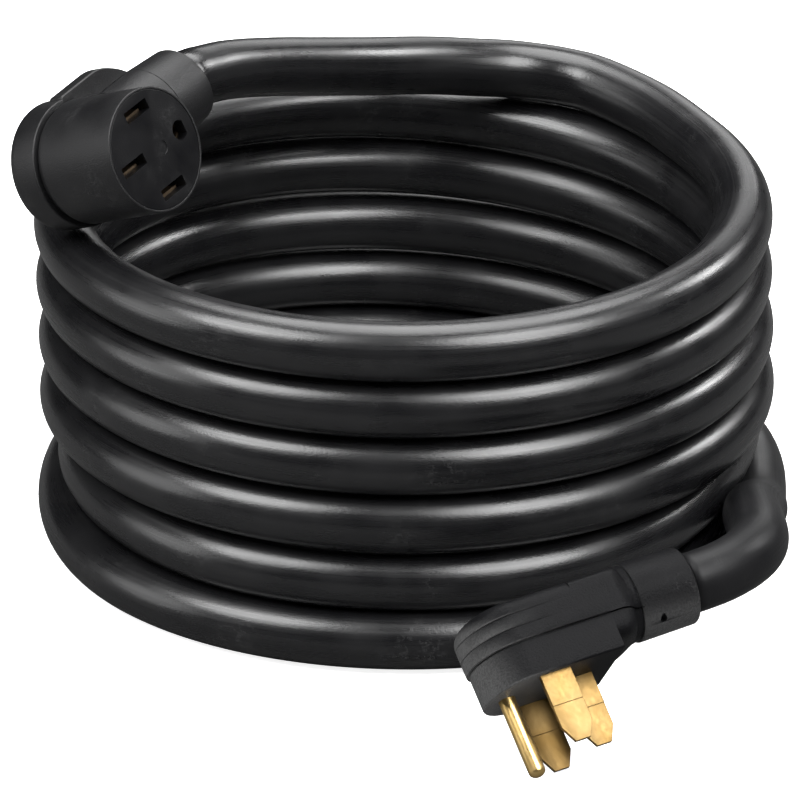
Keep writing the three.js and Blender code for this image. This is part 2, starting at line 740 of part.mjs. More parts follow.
// a group's place: X points along a heading and a rise, and Z is rolled about it from level
function place(group, { x, y, heading, rise, roll }, anchor, lift) {
  const [turn, climb, spin] = [heading, rise, roll].map(radians);
  const along = new THREE.Vector3(
    Math.cos(climb) * Math.cos(turn), Math.cos(climb) * Math.sin(turn), Math.sin(climb),
  );
  const level = new THREE.Vector3(along.y, -along.x, 0).normalize();
  const upright = new THREE.Vector3().crossVectors(level, along);
  const out = level.multiplyScalar(Math.cos(spin)).addScaledVector(upright, Math.sin(spin));
  const across = new THREE.Vector3().crossVectors(out, along);
  group.quaternion.setFromRotationMatrix(new THREE.Matrix4().makeBasis(along, across, out));
  group.position.set(anchor[0] + x, anchor[1] + y, 0);
  const lowest = new THREE.Box3().setFromObject(group, true).min.z;
  group.position.z = lift - lowest;
  group.updateMatrixWorld(true);
}

// a lead's points: straight out of the collar first, then its own route
function leadPath(group, exit, height, route) {
  const straight = [gap, 2, 4].map((step) =>
    group.localToWorld(new THREE.Vector3(exit + step, 0, height)).toArray());
  return [...straight, ...route];
}

function lead(name, points) {
  const [first, last] = [points[0], points.at(-1)].map((p) => new THREE.Vector3(...p));
  const steps = Math.round((1.25 * first.distanceTo(last)) / cable.stepLength);
  return part(name, tube(points, shaft, cable.sides, steps), jacketBlack);
}

function cordSet() {
  const plugGroup = plugParts();
  const connectorGroup = connectorParts();
  place(plugGroup, plugPose, wallAnchor, gap / 2);
  place(connectorGroup, connectorPose, restAnchor, coilTop + gap);
  const toPlug = leadPath(plugGroup, plugExit, cableHeight, plugLeadRoute);
  const toConnector = leadPath(
    connectorGroup, connectorExit, -connector.neckDepth, connectorLeadRoute,
  );
  const group = new THREE.Group();
  group.add(
    plugGroup, connectorGroup,
    part('cable_coil', coilBody(), jacketBlack),
    lead('cable_lead_plug', toPlug),
    lead('cable_lead_connector', toConnector),
  );
  return group;
}

// the origin is under the middle of everything, on the floor
const shorePowerCord = cordSet();
const bounds = new THREE.Box3().setFromObject(shorePowerCord, true);
const middle = bounds.getCenter(new THREE.Vector3());
shorePowerCord.position.set(-middle.x, -middle.y, -bounds.min.z);
shorePowerCord.updateMatrixWorld(true);

export default shorePowerCord;
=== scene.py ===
import math

import bmesh
import bpy
from mathutils import Matrix, Vector


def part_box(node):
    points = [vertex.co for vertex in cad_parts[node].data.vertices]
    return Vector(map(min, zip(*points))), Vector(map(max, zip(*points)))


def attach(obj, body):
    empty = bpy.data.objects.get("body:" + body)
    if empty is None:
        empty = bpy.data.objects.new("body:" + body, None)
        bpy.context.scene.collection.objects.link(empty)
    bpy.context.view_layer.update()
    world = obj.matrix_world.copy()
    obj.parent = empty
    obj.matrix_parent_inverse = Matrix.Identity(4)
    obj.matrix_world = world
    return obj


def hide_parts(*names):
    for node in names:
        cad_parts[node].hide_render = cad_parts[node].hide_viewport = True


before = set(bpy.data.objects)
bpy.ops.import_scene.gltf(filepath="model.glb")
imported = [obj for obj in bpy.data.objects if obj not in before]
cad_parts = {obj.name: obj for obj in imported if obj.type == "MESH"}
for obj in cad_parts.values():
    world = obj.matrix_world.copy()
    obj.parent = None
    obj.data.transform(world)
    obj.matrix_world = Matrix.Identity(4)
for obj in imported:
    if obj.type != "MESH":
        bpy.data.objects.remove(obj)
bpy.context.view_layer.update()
scene = bpy.context.scene
print("frame loaded")

lowest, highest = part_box("cable_coil")
coilAxis = Vector(((lowest.x + highest.x) / 2, (lowest.y + highest.y) / 2, 0))

camera = {
    "elevation": 24, "distance": 4.6, "aim": (-0.0021, -0.0096, 0.0584),  # aim is from the coil's axis
    "lens": 499, "sensor": 36, "farthest": 50,
}


def makeCamera():
    data = bpy.data.cameras.new("camera")
    data.lens = camera["lens"]
    data.sensor_width = camera["sensor"]
    data.clip_end = camera["farthest"]
    obj = bpy.data.objects.new("camera", data)
    scene.collection.objects.link(obj)
    rise = math.radians(camera["elevation"])
    away = Vector((0, -math.cos(rise), math.sin(rise)))
    obj.location = coilAxis + Vector(camera["aim"]) + away * camera["distance"]
    obj.rotation_euler = (-away).to_track_quat("-Z", "Y").to_euler()
    scene.camera = obj


makeCamera()
print("camera placed")


# the cable is one line, from the connector's collar round the coil to the plug's collar
cable = {
    "diameter": 0.0246,
    "coilRadius": 0.1402,
    "turns": 6,
    "pitch": 0.0251,
    "sway": 0.0044,            # how far a turn dips and climbs on its way round
    "floorGap": 0.0003,
    "pointsPerTurn": 36,
    "spacing": 0.0045,
    "sides": 48,
    "firstTurn": 0.667,        # turns are counted from the front, clockwise from above
    "lastTurn": 6.73,
    # the last turn lies on the floor and the one before it slips down inside it
    "drift": [(5.08, 0), (5.25, -0.0082), (5.42, -0.0045), (5.56, -0.0045), (5.72, -0.0184),
              (5.775, -0.0168), (5.82, -0.0055), (5.87, 0.0040), (5.93, 0.0056), (6.0, 0.0050),
              (6.13, 0.0040), (6.26, 0.0008), (6.42, 0.0148), (6.5, 0.0177), (6.6, 0.0178),
              (6.67, 0.0125), (6.75, 0.0062)],
    # places where a turn is lifted off the one below, or has sunk a little towards it
    "lifts": [(1.43, 0.0017, 0.13), (1.6, 0.0011, 0.08), (2.45, 0.0012, 0.15),
              (4.48, -0.0006, 0.15), (5.0, -0.0007, 0.16)],
    # one short bend inwards, and a slow change of radius in the turns above the floor
    "tuck": {"turn": 4.80, "depth": 0.0087, "spread": 0.075},
    "wander": {"size": 0.0008, "rate": 0.83, "start": 1.1, "until": 5},
    "straight": (0.0003, 0.003, 0.006),  # steps straight out of each collar
}
# from the connector's collar to the coil, and from the coil to the plug's collar
connectorLead = [
    (-0.0835, 0.0172, 0.1931), (-0.0762, 0.0260, 0.1914), (-0.0682, 0.0354, 0.1886),
    (-0.0593, 0.0457, 0.1849), (-0.0495, 0.0570, 0.1806), (-0.0386, 0.0690, 0.1757),
    (-0.0266, 0.0813, 0.1707), (-0.0130, 0.0937, 0.1657), (0.0015, 0.1058, 0.1611),
    (0.0145, 0.1144, 0.1575), (0.0285, 0.1214, 0.1539), (0.0423, 0.1264, 0.1512),
    (0.0560, 0.1274, 0.1492), (0.0695, 0.1249, 0.1477), (0.0822, 0.1184, 0.1465),
    (0.1040, 0.0966, 0.1443),
]
plugLead = [
    (0.1463, -0.0180, 0.0160), (0.1461, -0.0380, 0.0222), (0.1447, -0.0570, 0.0305),
    (0.1427, -0.0780, 0.0394), (0.1417, -0.0970, 0.0460), (0.1418, -0.1140, 0.0514),
    (0.1424, -0.1300, 0.0554), (0.1427, -0.1450, 0.0584), (0.1417, -0.1572, 0.0603),
    (0.1385, -0.1677, 0.0611), (0.1329, -0.1771, 0.0612), (0.1252, -0.1847, 0.0605),
]


def smoothThrough(knots, at):
    # a soft curve through (place, value) knots
    if at <= knots[0][0]:
        return knots[0][1]
    for i in range(len(knots) - 1):
        (a, low), (b, high) = knots[i], knots[i + 1]
        if at <= b:
            before, after = knots[max(i - 1, 0)], knots[min(i + 2, len(knots) - 1)]
            slopeIn = (high - before[1]) / (b - before[0]) * (b - a)
            slopeOut = (after[1] - low) / (after[0] - a) * (b - a)
            t = (at - a) / (b - a)
            return (low * (2 * t ** 3 - 3 * t * t + 1) + high * (3 * t * t - 2 * t ** 3)
                    + slopeIn * (t ** 3 - 2 * t * t + t) + slopeOut * (t ** 3 - t * t))
    return knots[-1][1]


def turnPoint(turn):
    shaft = cable["diameter"] / 2
    tuck, wander = cable["tuck"], cable["wander"]
    height = shaft + cable["pitch"] * (cable["turns"] - turn) + cable["sway"] * math.sin(2 * math.pi * turn)
    for place, lift, spread in cable["lifts"]:
        height += lift * math.exp(-((turn - place) / spread) ** 2)
    height = max(shaft + cable["floorGap"], height)
    radius = cable["coilRadius"] + smoothThrough(cable["drift"], turn)
    radius -= tuck["depth"] * math.exp(-((turn - tuck["turn"]) / tuck["spread"]) ** 2)
    if turn < wander["until"]:
        radius += wander["size"] * math.sin(2 * math.pi * turn * wander["rate"] + wander["start"])
    angle = math.radians(-90 - 360 * turn)
    return Vector((radius * math.cos(angle), radius * math.sin(angle), height))


def jacketEnds(node):
    # the centres of the two flat ends of the short jacket piece in a collar
    centres = {}
    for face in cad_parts[node].data.polygons:
        key = tuple(round(n, 2) for n in face.normal)
        total, area = centres.get(key, (Vector(), 0))
        centres[key] = (total + face.center * face.area, area + face.area)
    flats = sorted(centres.values(), key=lambda item: -item[1])[:2]
    return [total / area for total, area in flats]


def exitOf(node, towards):
    # where the jacket leaves its collar, and which way
    outer, inner = sorted(jacketEnds(node), key=lambda p: (p - coilAxis - Vector(towards)).length)
    return outer, (outer - inner).normalized()


def cableLine():
    start, startWay = exitOf("connector_jacket_end", connectorLead[0])
    end, endWay = exitOf("plug_jacket_end", plugLead[-1])
    first, span = cable["firstTurn"], cable["lastTurn"] - cable["firstTurn"]
    steps = round(span * cable["pointsPerTurn"])
    line = [start + startWay * step for step in cable["straight"]]
    line += [coilAxis + Vector(p) for p in connectorLead]
    line += [coilAxis + turnPoint(first + span * i / steps) for i in range(steps + 1)]
    line += [coilAxis + Vector(p) for p in plugLead]
    line += [end + endWay * step for step in reversed(cable["straight"])]
    return line


def evenLine(points, spacing, fineSteps=8):
    # a smooth line through the points, stepped evenly
    fine = []
    for i in range(len(points) - 1):
        a, b = points[max(i - 1, 0)], points[i]
        c, d = points[i + 1], points[min(i + 2, len(points) - 1)]
        for k in range(fineSteps):
            t = k / fineSteps
            fine.append(0.5 * ((2 * b) + (c - a) * t + (2 * a - 5 * b + 4 * c - d) * t * t
                               + (3 * b - a - 3 * c + d) * t ** 3))
    fine.append(points[-1])
    lengths = [0]
    for p, q in zip(fine, fine[1:]):
        lengths.append(lengths[-1] + (q - p).length)
    count = round(lengths[-1] / spacing)
    out, j = [], 0
    for i in range(count + 1):
        want = lengths[-1] * i / count
        while j < len(lengths) - 2 and lengths[j + 1] < want:
            j += 1
        share = (want - lengths[j]) / max(1e-9, lengths[j + 1] - lengths[j])
        out.append(fine[j].lerp(fine[j + 1], share))
    return out, lengths[-1]


def makeObject(name, vertices, faces):
    mesh = bpy.data.meshes.new(name)
    mesh.from_pydata([tuple(v) for v in vertices], [], faces)
    mesh.update()
    obj = bpy.data.objects.new(name, mesh)
    scene.collection.objects.link(obj)
    return obj


def tubeRings(line, radius, sides):
    # rings that turn with the line without twisting about it
    last = len(line) - 1
    ways = [(line[min(i + 1, last)] - line[max(i - 1, 0)]).normalized() for i in range(last + 1)]
    side = ways[0].cross(Vector((0, 0, 1))).normalized()
    rings = []
    for point, way in zip(line, ways):
        side = (side - way * side.dot(way)).normalized()
        up = way.cross(side)
        rings.append([point + (side * math.cos(a) + up * math.sin(a)) * radius
                      for a in (2 * math.pi * k / sides for k in range(sides))])
    return rings


def unroll(obj, sides, length, steps):
    # the share of the way round and the metres along, which the jacket's drawn lines follow
    layer = obj.data.uv_layers.new(name="along")
    for face in obj.data.polygons:
        face.use_smooth = len(face.vertices) == 4
        closing = face.vertices[3] % sides == 0 and face.vertices[0] % sides > 0
        for loop in face.loop_indices:
            ring, k = divmod(obj.data.loops[loop].vertex_index, sides)
            layer.data[loop].uv = (1.0 if closing and k == 0 else k / sides, ring * length / steps)


def makeCable():
    line, length = evenLine(cableLine(), cable["spacing"])
    sides = cable["sides"]
    rings = tubeRings(line, cable["diameter"] / 2, sides)
    vertices = [p for ring in rings for p in ring]
    faces = []
    for i in range(len(rings) - 1):
        for k in range(sides):
            a, b = i * sides + k, i * sides + (k + 1) % sides
            faces.append((a, a + sides, b + sides, b))
    faces += [tuple(range(sides)), tuple(reversed(range(len(vertices) - sides, len(vertices))))]
    obj = makeObject("cable", vertices, faces)
    unroll(obj, sides, length, len(line) - 1)
    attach(obj, "root")
    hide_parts("cable_coil", "cable_lead_plug", "cable_lead_connector")
    print(f"cable laid, {length:.2f} m")
    return obj


cableObject = makeCable()


# both ends are drawn in millimetres, each in its own place
millimetre = 0.001
onAxis = 0.001                 # a radius that stands for the axis itself
meshing = {"merge": 1e-6, "sharpFrom": 34, "roundFrom": 40}  # metres, degrees, degrees
plugPose = {"origin": (0.05457, -0.23552, 0.03539), "heading": 25, "rise": 7, "roll": 135}
connectorPose = {"origin": (-0.10104, -0.07052, 0.19655), "heading": 53.5, "rise": 11, "roll": 22.7}
pattern = {"hot": 17.85, "neutral": 14.1, "ground": 16.6}  # each pole's distance from the centre


def endPlace(pose):
    # X runs to the cable; the plug's blades point down Z, and the connector's face looks up it
    turn, climb, spin = (math.radians(pose[key]) for key in ("heading", "rise", "roll"))
    along = Vector((math.cos(climb) * math.cos(turn), math.cos(climb) * math.sin(turn), math.sin(climb)))
    level = Vector((along.y, -along.x, 0)).normalized()
    out = level * math.cos(spin) + level.cross(along) * math.sin(spin)
    turned = Matrix((along, out.cross(along), out)).transposed().to_4x4()
    return Matrix.Translation(coilAxis + Vector(pose["origin"])) @ turned @ Matrix.Scale(millimetre, 4)


plugPlace, connectorPlace = endPlace(plugPose), endPlace(connectorPose)


def loftShell(rings, closed=True):
    # faces between rings of equal count, with flat ends where it is closed
    count = len(rings[0])
    vertices = [p for ring in rings for p in ring]
    faces = []
    for i in range(len(rings) - 1):
        for k in range(count):
            a, b = i * count + k, i * count + (k + 1) % count
            faces.append((a, b, b + count, a + count))
    if closed:
        faces += [tuple(reversed(range(count))), tuple(range(len(vertices) - count, len(vertices)))]
    return vertices, faces


def turnedShell(profile, sides, centre=(0, 0), axis="z"):
    # a profile of (radius, height) turned about an axis; one that ends where it began is a ring
    rings = []
    for radius, height in profile:
        ring = []
        for k in range(sides):
            a = 2 * math.pi * k / sides
            c, s = radius * math.cos(a), radius * math.sin(a)
            ring.append((centre[0] + c, centre[1] + s, height) if axis == "z"
                        else (height, centre[0] + c, centre[1] + s))
        rings.append(ring)
    return loftShell(rings, closed=profile[0] != profile[-1])


def fillet(corner, before, after, radius, steps):
    # points round a corner of a profile, between the ways to its neighbours
    corner, a, b = Vector(corner), Vector(before), Vector(after)
    wayIn, wayOut = (a - corner).normalized(), (b - corner).normalized()
    start, end = corner + wayIn * radius, corner + wayOut * radius
    points = []
    for i in range(steps + 1):
        t = i / steps
        points.append(tuple(start * (1 - t) ** 2 + corner * 2 * t * (1 - t) + end * t * t))
    return points


def rounded(profile, radii, steps):
    # a profile with some corners rounded: radii gives each corner its radius
    out = []
    for i, corner in enumerate(profile):
        if i in radii:
            out += fillet(corner, profile[i - 1], profile[i + 1], radii[i], steps)
        else:
            out.append(corner)
    return out


def tidyMesh(obj):
    mesh = bmesh.new()
    mesh.from_mesh(obj.data)
    bmesh.ops.remove_doubles(mesh, verts=mesh.verts, dist=meshing["merge"])
    bmesh.ops.dissolve_degenerate(mesh, edges=mesh.edges, dist=meshing["merge"])
    bmesh.ops.recalc_face_normals(mesh, faces=mesh.faces)
    sharp = math.radians(meshing["sharpFrom"])
    for face in mesh.faces:
        face.smooth = True
    for edge in mesh.edges:
        edge.smooth = len(edge.link_faces) == 2 and edge.calc_face_angle(0) < sharp
    mesh.to_mesh(obj.data)
    mesh.free()


def shellObject(name, place, *shells):
    vertices, faces = [], []
    for points, polygons in shells:
        base = len(vertices)
        vertices += [place @ Vector(p) for p in points]
        faces += [tuple(base + i for i in face) for face in polygons]
    obj = makeObject(name, vertices, faces)
    tidyMesh(obj)
    return obj


def boxTool(place, low, high):
    (x0, y0, z0), (x1, y1, z1) = low, high
    rings = [[(x0, y0, z), (x1, y0, z), (x1, y1, z), (x0, y1, z)] for z in (z0, z1)]
    return shellObject("boxTool", place, loftShell(rings))


def applyModifiers(obj):
    graph = bpy.context.evaluated_depsgraph_get()
    graph.update()
    mesh = bpy.data.meshes.new_from_object(obj.evaluated_get(graph))
    obj.modifiers.clear()
    old, obj.data = obj.data, mesh
    mesh.name = old.name
    bpy.data.meshes.remove(old)


def carve(obj, tools, bevel=0.0, segments=3):
    # cuts the tools out, then rounds the edges that are left
    for tool in tools:
        cutting = obj.modifiers.new("cut", "BOOLEAN")
        cutting.operation = "DIFFERENCE"
        cutting.solver = "EXACT"
        cutting.object = tool
    if bevel:
        rounding = obj.modifiers.new("round", "BEVEL")
        rounding.width = bevel * millimetre
        rounding.segments = segments
        rounding.limit_method = "ANGLE"
        rounding.angle_limit = math.radians(meshing["roundFrom"])
    applyModifiers(obj)
    for tool in tools:
        bpy.data.objects.remove(tool, do_unlink=True)
    tidyMesh(obj)


dressed = {}


def ridden(obj, finish, *nodes):
    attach(obj, "root")
    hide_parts(*nodes)
    dressed[obj.name] = finish


housing = {
    "noseReach": 26, "noseDepth": 18, "half": 22.5, "overhang": 0.9, "arcSteps": 72,
    "sideSteps": (0.25, 0.5, 0.75, 1),
    "faceEnd": 30, "faceStep": 3.6, "faceLow": -1.5, "height": 32, "cable": 21,
    "topRound": 6, "edgeBreak": 0.9,
    "parting": 13.7, "partingGap": 0.22, "partingRound": 0.4,
    "seam": {"inset": 0.55, "half": 0.8},
    "tail": {"overlap": 12, "start": 35, "end": 47, "radius": 15.7, "squareness": 9, "roundingRate": 1.5,
             "inset": 0.15, "insetFade": 4, "rings": 40, "sides": 96},
    "groove": {"heights": (19.6, 25.2), "depth": 0.4, "width": 0.7, "fade": (-5, 8),
               "section": ((-0.5, 0), (-0.22, 0.35), (0, 1), (0.22, 0.35), (0.5, 0))},
}


def ease(value, start, end):
    t = min(1, max(0, (value - start) / (end - start)))
    return t * t * (3 - 2 * t)


def noseRing(height, half, inset=0.0, fade=None):
    # the plug from above: a half-round nose and two straight sides
    reach = housing["noseReach"] + (half - housing["half"])
    depth, end, steps = housing["noseDepth"], housing["faceEnd"], housing["sideSteps"]
    centre = depth - reach

    def drawnIn(x):
        return inset * (1 - ease(x, *fade)) if fade else inset

    ring = []
    for i in range(housing["arcSteps"] + 1):
        angle = math.pi * (0.5 + i / housing["arcSteps"])
        drawn = drawnIn(centre + depth * math.cos(angle))
        ring.append((centre + (depth - drawn) * math.cos(angle), (half - drawn) * math.sin(angle), height))
    for side, order in ((-1, steps), (1, steps[::-1])):
        for step in order:
            x = centre + (end - depth + reach) * step
            ring.append((x, side * (half - drawnIn(x)), height))
    return ring


def roundedEdge(height, half, radius, steps, up=True):
    # rings from the side wall over a rounded edge: to the top, or to the bottom where up is False
    rings = []
    for i in range(steps + 1):
        angle = math.pi / 2 * i / steps
        lift = radius * (1 - math.sin(angle))
        rings.append(noseRing(height - lift if up else height + lift, half, radius * (1 - math.cos(angle))))
    return rings


def tailShell(low, high, half):
    # from the housing's square section to the collar's round one, between two heights
    tail, middle = housing["tail"], housing["cable"]
    start = housing["faceEnd"] - tail["overlap"]
    rings = []
    for i in range(tail["rings"] + 1):
        x = start + (tail["end"] - start) * i / tail["rings"]
        t = ease(x, tail["start"], tail["end"])
        inside = tail["inset"] * (1 - ease(x, housing["faceEnd"], housing["faceEnd"] + tail["insetFade"]))
        side, up, down = (span + (tail["radius"] - span) * t - inside
                          for span in (half, housing["height"] - middle, middle - housing["faceStep"]))
        power = tail["squareness"] + (2 - tail["squareness"]) * min(1, tail["roundingRate"] * t)
        ring = []
        for k in range(tail["sides"]):
            a = 2 * math.pi * k / tail["sides"]
            c, s = math.cos(a), math.sin(a)
            reach = (abs(c / side) ** power + abs(s / (up if s > 0 else down)) ** power) ** (-1 / power)
            ring.append((x, reach * c, min(high, max(low, middle + reach * s))))
        rings.append(ring)
    return loftShell(rings)


def plugCoverShells():
    half, groove = housing["half"] + housing["overhang"], housing["groove"]
    low = housing["parting"] + housing["partingGap"]
    rings = roundedEdge(low, half, housing["partingRound"], steps=3, up=False)[::-1]
    for height in groove["heights"]:
        for shift, share in groove["section"]:
            rings.append(noseRing(height + shift * groove["width"], half, share * groove["depth"],
                                  groove["fade"]))
    rings += roundedEdge(housing["height"], half, housing["topRound"], steps=10)
    return loftShell(rings), tailShell(low, math.inf, half)


def plugBaseShells():
    half = housing["half"]
    high = housing["parting"] - housing["partingGap"]
    rings = roundedEdge(housing["faceLow"], half, housing["edgeBreak"], steps=5, up=False)[::-1]
    rings += roundedEdge(high, half, housing["partingRound"], steps=3)
    return loftShell(rings), tailShell(-math.inf, high, half)


def seamStrip():
    # the dark bottom of the parting line, a little inside both halves
    seam = housing["seam"]
    return loftShell([noseRing(housing["parting"] + step, housing["half"], seam["inset"])
                      for step in (-seam["half"], seam["half"])])


collar = {
    "start": 46.3, "length": 25.5, "radius": 16.5, "taper": 0.5, "round": 1.4, "edge": 0.5,
    "bore": 12.65, "flare": 0.1, "flareLength": 1.2, "sides": 96,
}
vent = {"along": 8.5, "turn": 36, "width": 3.1, "drop": 2.7, "pointed": 0.35,
        "deep": 2.6, "over": 2, "sides": 28}


def collarShell(sleeve, height):
    start, end, bore = sleeve["start"], sleeve["start"] + sleeve["length"], sleeve["bore"]
    profile = rounded([
        (bore, start), (sleeve["radius"], start), (sleeve["radius"] - sleeve["taper"], end),
        (bore + sleeve["flare"], end), (bore, end - sleeve["flareLength"]), (bore, start),
    ], {1: sleeve["edge"], 2: sleeve["round"], 3: sleeve["edge"]}, steps=6)
    return turnedShell(profile, sleeve["sides"], (0, height), "x")


def ventTool(place):
    # a drop-shaped hole: round below and drawn to a point towards the cover
    outline = []
    for k in range(vent["sides"]):
        a = 2 * math.pi * k / vent["sides"]
        upper = math.sin(a) > 0
        narrowed = 1 - vent["pointed"] * math.sin(a) if upper else 1
        outline.append((vent["width"] / 2 * math.cos(a) * narrowed,
                        math.sin(a) * (vent["drop"] if upper else vent["width"] / 2)))
    turn = math.radians(vent["turn"])
    across = Vector((0, -math.cos(turn), math.sin(turn)))
    out = Vector((0, -math.sin(turn), -math.cos(turn)))
    centre = Vector((collar["start"] + vent["along"], 0, housing["cable"]))
    rings = [[centre + Vector((x, 0, 0)) + across * y + out * depth for x, y in outline]
             for depth in (collar["radius"] - vent["deep"], collar["radius"] + vent["over"])]
    return shellObject("ventTool", place, loftShell(rings))


blade = {
    "width": 13.3, "thickness": 2.6, "reach": 31.1, "top": 4.2, "chamfer": 3.4, "tipRise": 6.8,
    "panelHigh": 16.2, "panelDepth": 0.32, "bevel": 0.42, "toolReach": 4, "toolOver": 1,
}


def bladeShell(x, y):
    half, low, rise = blade["width"] / 2, -blade["reach"], blade["tipRise"]
    outline = [(-half + blade["chamfer"], low), (half - blade["chamfer"], low), (half, low + rise),
               (half, blade["top"]), (-half, blade["top"]), (-half, low + rise)]
    rings = [[(x + a, y + side * blade["thickness"] / 2, h) for a, h in outline] for side in (-1, 1)]
    return loftShell(rings)


def panelTools(place, x, y):
    # the coined lower half on both sides of a blade
    over, low = blade["toolOver"], -blade["reach"]
    half = blade["width"] / 2 + over
    near, far = blade["thickness"] / 2 - blade["panelDepth"], blade["toolReach"]
    tools = []
    for side in (-1, 1):
        first, last = sorted((y + side * near, y + side * far))
        tools.append(boxTool(place, (x - half, first, low - over),
                             (x + half, last, low + blade["panelHigh"])))
    return tools


pin = {
    "radius": 3.5, "reach": 35.7, "tip": 0.8, "tipSteps": 8, "rows": (-20, -0.5, 4), "sides": 64,
    "seam": {"wide": 0.7, "deep": 5.2, "toolReach": 5, "toolOver": 1, "bevel": 0.2},
    "fold": {"depth": 0.16, "spread": 4.5, "from": 0.9},  # millimetres, degrees, share of the radius
}


def pinShell():
    radius, low, fold = pin["radius"], -pin["reach"], pin["fold"]
    profile = [(onAxis, low)]
    for i in range(1, pin["tipSteps"] + 1):
        angle = math.pi / 2 * i / pin["tipSteps"]
        profile.append((radius * math.sin(angle), low + pin["tip"] * radius * (1 - math.cos(angle))))
    profile += [(radius, height) for height in pin["rows"]] + [(onAxis, pin["rows"][-1])]
    points, faces = turnedShell(profile, pin["sides"], (-pattern["ground"], 0))
    middle = Vector((-pattern["ground"], 0))
    folded = []
    for x, y, z in points:
        # a shallow crease down the side where the sheet is rolled shut
        away = Vector((x, y)) - middle
        crease = 0
        if away.length > fold["from"] * radius:
            facing = math.degrees(math.atan2(away.y, away.x))
            crease = fold["depth"] * math.exp(-((abs(facing) - 180) / fold["spread"]) ** 2)
        near = away.normalized() * crease
        folded.append((x - near.x, y - near.y, z))
    return folded, faces


# where the painted light, a lighter speckled tone on the plug's sides, fades out: along the plug, and as a
# side turns upwards
grip = {"along": (-16, 10), "facing": (0.1, 0.7), "collarShare": 0.5, "collarFacing": (-0.2, 0.6)}


def markPaintedLight(obj, shareAt):
    # how far the painted light reaches, kept with each vertex
    layer = obj.data.attributes.new("grip", "FLOAT", "POINT")
    for i, vertex in enumerate(obj.data.vertices):
        layer.data[i].value = shareAt(vertex.co, vertex.normal)


def makePlug():
    place = plugPlace
    local = place.inverted()

    # painted light: the nose and the faces that look sideways or down get a lighter colour, and upward faces
    # stay dark
    def paintedLightShare(point, normal):
        return (1 - ease((local @ point).x, *grip["along"])) * (1 - ease(normal.z, *grip["facing"]))

    # painted light on the collar: lighter where it faces down, darker where it faces up
    def paintedLightShareCollar(point, normal):
        return grip["collarShare"] * (1 - ease(normal.z, *grip["collarFacing"]))

    cover = shellObject("plugCover", place, *plugCoverShells())
    base = shellObject("plugBase", place, *plugBaseShells(), seamStrip())
    sleeve = shellObject("plugCollar", place, collarShell(collar, housing["cable"]))
    carve(sleeve, [ventTool(place)])
    for obj, node, shareAt in ((cover, "plug_cover", paintedLightShare), (base, "plug_base", paintedLightShare),
                               (sleeve, "plug_collar", paintedLightShareCollar)):
        ridden(obj, "plugBlack", node)
        markPaintedLight(obj, shareAt)
    for name, node, x, y in (("bladeLeft", "plug_blade_hot_x", 0, -pattern["hot"]),
                             ("bladeRight", "plug_blade_hot_y", 0, pattern["hot"]),
                             ("bladeNeutral", "plug_blade_neutral", pattern["neutral"], 0)):
        piece = shellObject(name, place, bladeShell(x, y))
        carve(piece, panelTools(place, x, y), blade["bevel"])
        ridden(piece, "brass", node)
    ground = shellObject("groundPin", place, pinShell())
    seam, middle, low = pin["seam"], -pattern["ground"], -pin["reach"]
    slit = boxTool(place, (middle - seam["toolReach"], -seam["wide"] / 2, low - seam["toolOver"]),
                   (middle, seam["wide"] / 2, low + seam["deep"]))
    carve(ground, [slit], seam["bevel"], segments=2)
    ridden(ground, "pinBrass", "plug_pin_ground")


makePlug()
print("plug built")


connector = {
    "sleeve": 25.85, "sides": 128, "wall": 1.1, "backWall": 2.3, "rim": 0.5, "rimInside": 0.2,
    "rootDepth": 1.5, "rootLength": 3.0, "rootEdge": 0.35,
    "seam": -44, "sleeveGap": 0.3, "seamGap": 0.2, "seamBreak": 0.5, "seamRound": 0.6,
    "coverBack": -60, "coverRadius": 26.8, "backRound": 4.5,
    "wing": {"depth": 9, "half": 27.4, "start": 5, "shoulder": 31, "waist": 41, "waistHalf": 21.5,
             "round": 2.4, "startRound": 1.6, "sideRound": 5},
    "neck": 18.4, "neckDepth": -41.5, "neckStart": (24.4, 20), "neckEnd": 44, "neckSides": 96,
    "collar": {"gap": 0.3, "length": 21, "taper": 1.6, "round": 1.6},
}
slottedFace = {
    "high": -0.18, "depth": 5, "seat": 1, "gap": 0.15, "edge": 0.25, "bevel": 0.42, "cut": (-7, 2),
    "slotLength": 14.2, "slotWidth": 4.8, "slotRound": 0.5, "groundRadius": 4.1, "groundFlat": 42,
    "mark": {"centre": (3.7, -1.2), "radius": 3.0, "from": -98, "sweep": 150, "steps": 14,
             "width": 0.5, "height": 0.36, "sunk": 0.1, "taper": (0.08, 0.84)},
}


def neckHalf(start, low, high):
    # a rod along X kept between two heights
    radius, middle, end = connector["neck"], connector["neckDepth"], connector["neckEnd"]
    sides = connector["neckSides"]
    return loftShell([
        [(x, radius * math.cos(a), min(high, max(low, middle + radius * math.sin(a))))
         for a in (2 * math.pi * k / sides for k in range(sides))]
        for x in (start, start + (end - start) / 2, end)
    ])


def sleeveBody():
    seam, radius = connector["seam"] + connector["sleeveGap"], connector["sleeve"]
    rootRadius, rootEnd = radius - connector["rootDepth"], seam + connector["rootLength"]
    bore, backBore = radius - connector["wall"], radius - connector["backWall"]
    step = slottedFace["high"] - slottedFace["depth"] - slottedFace["seat"]
    profile = rounded([
        (backBore, seam), (rootRadius, seam), (rootRadius, rootEnd), (radius, rootEnd), (radius, 0),
        (bore, 0), (bore, step), (backBore, step), (backBore, seam),
    ], {3: connector["rootEdge"], 4: connector["rim"], 5: connector["rimInside"]}, steps=5)
    return turnedShell(profile, connector["sides"])


def headShell():
    seam, back = connector["seam"] - connector["seamGap"], connector["coverBack"]
    radius = connector["coverRadius"]
    profile = rounded([(onAxis, back), (radius, back), (radius, seam), (onAxis, seam)],
                      {1: connector["backRound"], 2: connector["seamRound"]}, steps=9)
    return turnedShell(profile, connector["sides"])


